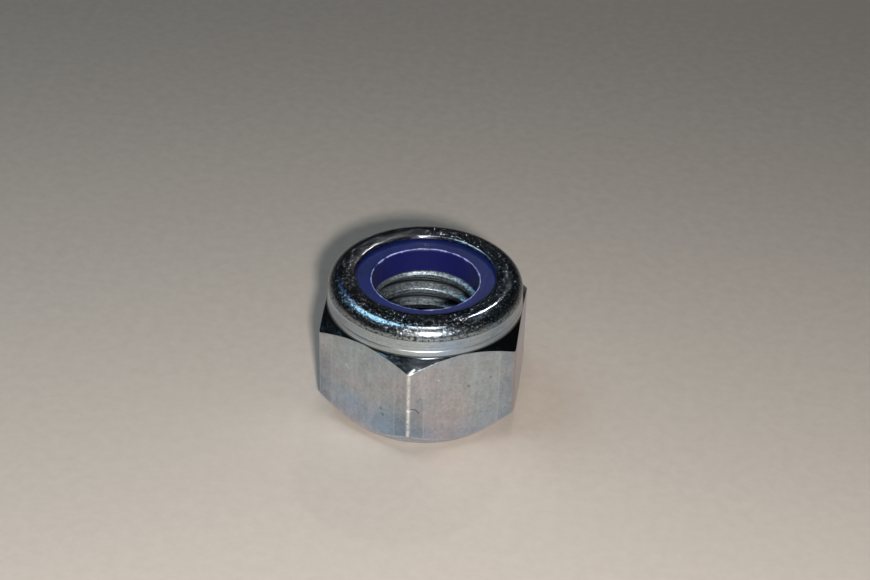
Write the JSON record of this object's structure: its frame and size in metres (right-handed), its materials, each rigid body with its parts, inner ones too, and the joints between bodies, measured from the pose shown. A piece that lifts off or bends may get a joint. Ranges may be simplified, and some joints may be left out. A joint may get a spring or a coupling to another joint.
{
  "type": "nylon insert lock nut",
  "caption": "Zinc-plated M8 hexagon lock nut with a round collar, whose rolled lip holds a blue nylon ring that grips the bolt thread.",
  "frame": {"origin": "centre of the bearing face, on the thread axis", "axes": "+Z along the thread axis from the bearing face to the collar, +X square to a pair of flats, +Y through a pair of corners"},
  "size_m": [0.013, 0.0148, 0.0095],
  "materials": {
    "zinc_plate": "bright zinc plate on steel, satin on the flats and glossy on the rolled lip, with a faint blue tint",
    "blue_nylon": "satin dark navy blue nylon"
  },
  "bodies": {
    "root": {"nut_body": "zinc_plate", "nylon_insert": "blue_nylon"}
  },
  "joints": []
}
